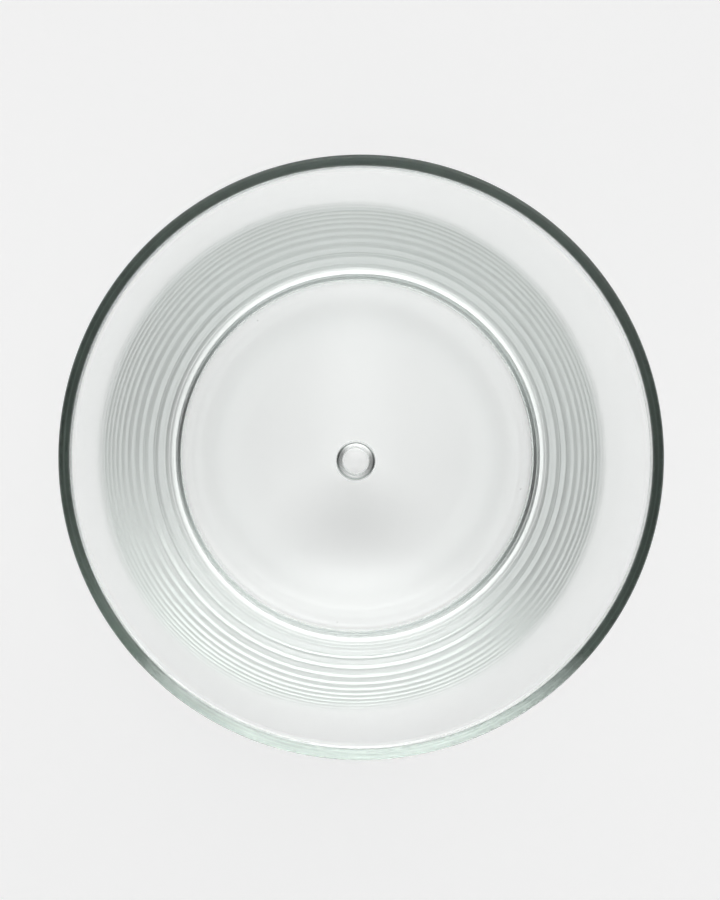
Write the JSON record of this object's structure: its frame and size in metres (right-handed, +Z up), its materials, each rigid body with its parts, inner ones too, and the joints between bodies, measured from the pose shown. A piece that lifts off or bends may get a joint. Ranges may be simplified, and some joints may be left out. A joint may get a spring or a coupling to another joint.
{
  "type": "mixing glass",
  "caption": "Clear mixing glass with a gently tapered wall, a thick cased base, a rounded heel and a trapped air bubble, open at the top for stirring drinks over ice.",
  "frame": {"origin": "centre of the foot ring, on the surface the glass stands on", "axes": "+Z up along the glass's axis, from the foot to the mouth; the glass is round, so +X and +Y are any two level directions"},
  "size_m": [0.09, 0.09, 0.15],
  "materials": {
    "clear_glass": "clear hand-blown glass with a faint green cast, fire-polished lip"
  },
  "bodies": {
    "root": {"cup": "clear_glass", "casing": "clear_glass"}
  },
  "joints": []
}
